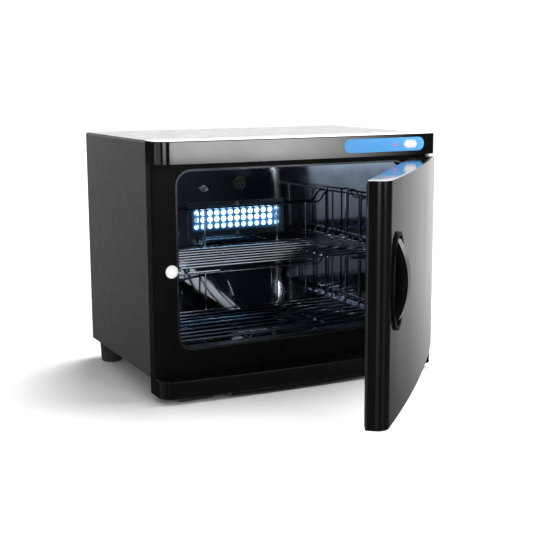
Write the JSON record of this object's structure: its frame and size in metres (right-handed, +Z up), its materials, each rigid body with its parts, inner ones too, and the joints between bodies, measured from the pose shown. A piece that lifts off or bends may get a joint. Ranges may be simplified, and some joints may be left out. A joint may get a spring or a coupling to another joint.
{
  "type": "uv sterilizer cabinet",
  "caption": "Countertop salon cabinet with a side-hinged bowed door, mirror-lined heated chamber, germicidal lamp and two sliding wire baskets.",
  "frame": {"origin": "on the supporting surface, below the middle of the plan of the closed cabinet", "axes": "+Z up, +X to the right of a user facing the door, -Y out of the front towards the user"},
  "size_m": [0.45, 0.6357, 0.3645],
  "materials": {
    "casing_paint": "satin dark grey powder coat",
    "zinc_steel": "bright zinc plated sheet steel",
    "steel_trim": "polished stainless edge trim",
    "black_plastic": "high gloss black moulded ABS",
    "dark_plastic": "matt black moulded plastic",
    "white_plastic": "white moulded plastic",
    "blue_label": "printed blue polycarbonate overlay",
    "red_lens": "lit red indicator lens",
    "rubber_feet": "black moulded rubber",
    "gasket_rubber": "magnetic door seal in black rubber",
    "heater_rubber": "silicone rubber heating mat",
    "insulation": "glass wool board",
    "mirror_liner": "mirror polished stainless sheet",
    "lamp_guard_steel": "perforated stainless sheet",
    "lamp_glass": "quartz glass tube, lit",
    "chrome_wire": "bright chromed steel wire",
    "door_gloss": "mirror gloss black acrylic panel",
    "door_inner": "dark vacuum formed liner"
  },
  "bodies": {
    "cabinet": {"outer_casing": "casing_paint", "rear_panel": "casing_paint", "base_plate": "zinc_steel", "front_bulkhead": "zinc_steel", "front_frame": "black_plastic", "opening_trim": "steel_trim", "header_housing": "black_plastic", "control_label": "blue_label", "indicator_lens": "red_lens", "switch_body": "dark_plastic", "sill": "black_plastic", "front_foot_left": "rubber_feet", "front_foot_right": "rubber_feet", "rear_foot_left": "rubber_feet", "rear_foot_right": "rubber_feet", "casing_screws": "zinc_steel", "inner_liner": "mirror_liner", "chamber_insulation": "insulation", "heater_mat": "heater_rubber", "thermostat": "dark_plastic", "thermal_cutout": "dark_plastic", "vent_fitting": "zinc_steel", "temperature_probe": "zinc_steel", "lamp_guard": "lamp_guard_steel", "guard_screws": "zinc_steel", "lamp_reflector": "zinc_steel", "uv_lamp_tube": "lamp_glass", "lamp_holders": "white_plastic", "lamp_ballast": "zinc_steel", "lamp_starter": "white_plastic", "terminal_block": "white_plastic", "mains_inlet": "dark_plastic", "upper_runner_left": "mirror_liner", "upper_runner_right": "mirror_liner", "lower_runner_left": "mirror_liner", "lower_runner_right": "mirror_liner", "interlock_housing": "dark_plastic", "interlock_spring": "chrome_wire", "upper_hinge_bracket": "zinc_steel", "lower_hinge_bracket": "zinc_steel", "hinge_pins": "zinc_steel"},
    "door": {"door_frame": "black_plastic", "door_outer_panel": "door_gloss", "door_inner_panel": "door_inner", "door_insulation": "insulation", "door_gasket": "gasket_rubber", "handle_cup": "black_plastic", "handle_grip": "black_plastic", "hinge_bushes": "dark_plastic"},
    "upper_basket": {"upper_basket_left": "chrome_wire", "upper_basket_right": "chrome_wire", "upper_basket_floor": "chrome_wire", "upper_basket_back": "chrome_wire"},
    "lower_basket": {"lower_basket_left": "chrome_wire", "lower_basket_right": "chrome_wire", "lower_basket_floor": "chrome_wire", "lower_basket_back": "chrome_wire"},
    "rocker": {"power_rocker": "white_plastic"},
    "plunger": {"interlock_plunger": "white_plastic"},
    "tray": {"drip_tray": "black_plastic"}
  },
  "joints": [
    {"name": "door_hinge", "type": "hinge", "parent": "cabinet", "child": "door", "pos_m": [0.213, -0.1433, 0.183], "axis": [0, 0, 1], "range_deg": [-48.3, 61.7]},
    {"name": "upper_basket_slide", "type": "slide", "parent": "cabinet", "child": "upper_basket", "axis": [0, -1, 0], "range_m": [0, 0.055]},
    {"name": "lower_basket_slide", "type": "slide", "parent": "cabinet", "child": "lower_basket", "axis": [0, -1, 0], "range_m": [0, 0.055]},
    {"name": "power_rocker_tilt", "type": "hinge", "parent": "cabinet", "child": "rocker", "pos_m": [0.17242, -0.1565, 0.3497], "axis": [0, 0, 1], "range_deg": [-6, 6]},
    {"name": "interlock_plunger_slide", "type": "slide", "parent": "cabinet", "child": "plunger", "axis": [0, 1, 0], "range_m": [0, 0.003]},
    {"name": "drip_tray_slide", "type": "slide", "parent": "cabinet", "child": "tray", "axis": [0, -1, 0], "range_m": [0, 0.045]}
  ]
}
